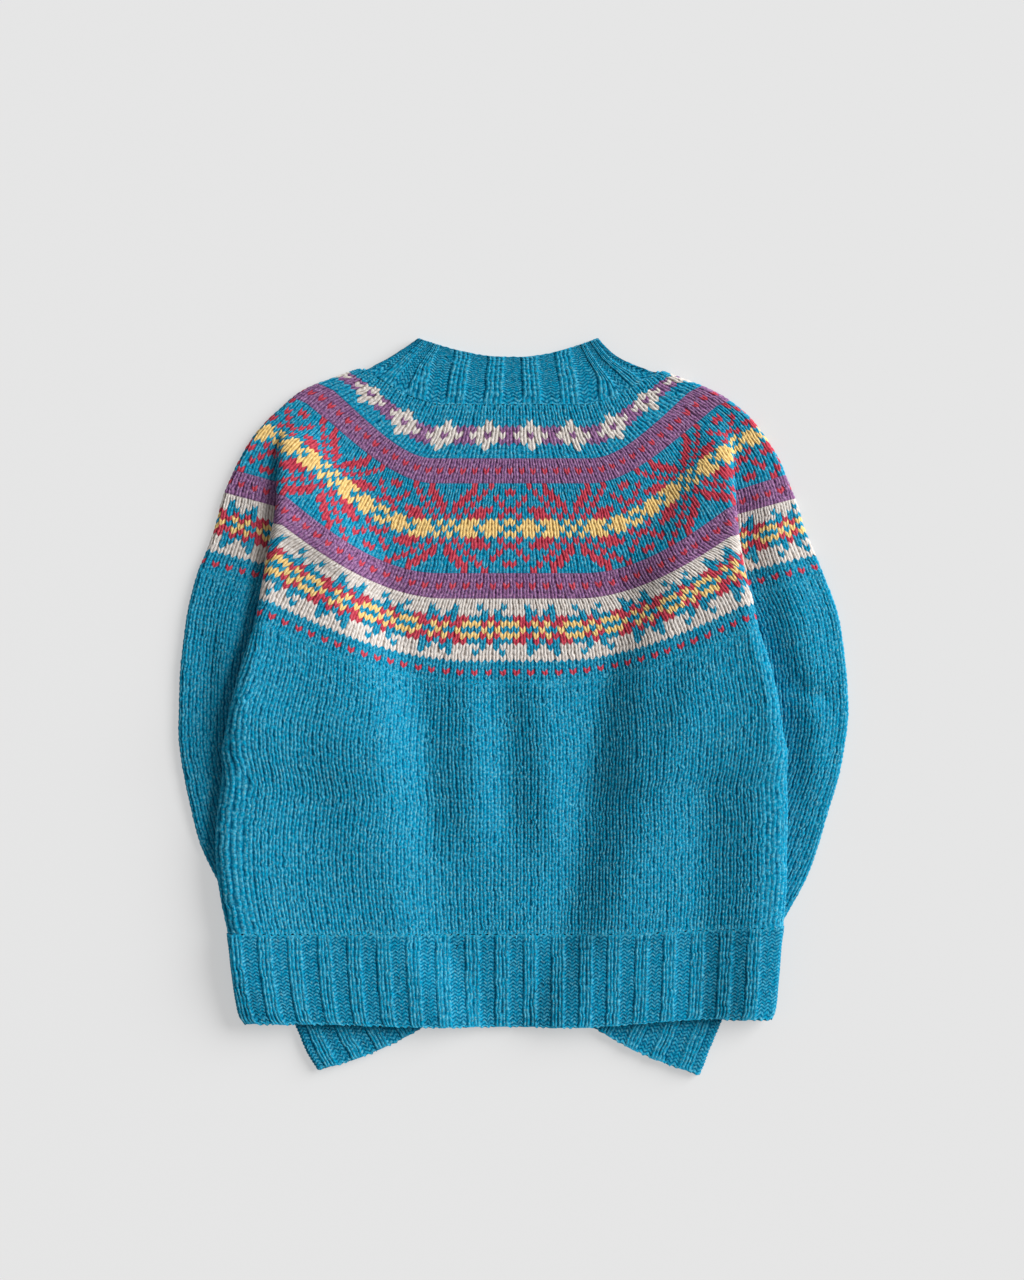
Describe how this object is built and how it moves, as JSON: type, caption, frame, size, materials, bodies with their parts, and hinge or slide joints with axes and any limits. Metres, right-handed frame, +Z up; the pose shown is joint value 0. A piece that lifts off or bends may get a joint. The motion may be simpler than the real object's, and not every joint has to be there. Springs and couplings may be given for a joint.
{
  "type": "fair isle jumper",
  "caption": "Round-yoke wool jumper with a patterned yoke and ribbed edges, laid flat with both sleeves folded behind the body.",
  "frame": {"origin": "middle of the garment's footprint, on the surface it lies on", "axes": "+Z up from the surface, +Y from the hem toward the neckband, +X toward the right of the garment as it is seen from above"},
  "size_m": [0.537, 0.5896, 0.0217],
  "materials": {
    "fair_isle_knit": "heathered wool stocking stitch in teal, purple, raspberry, yellow and cream",
    "plain_knit": "heathered teal wool stocking stitch with a soft halo",
    "rib_knit": "heathered teal wool in two by two rib"
  },
  "bodies": {
    "root": {"yoke": "fair_isle_knit", "body_front": "plain_knit", "body_back": "plain_knit", "hem_front": "rib_knit", "hem_back": "rib_knit", "collar": "rib_knit", "sleeve_left": "plain_knit", "sleeve_right": "plain_knit", "cuff_left": "rib_knit", "cuff_right": "rib_knit"}
  },
  "joints": []
}
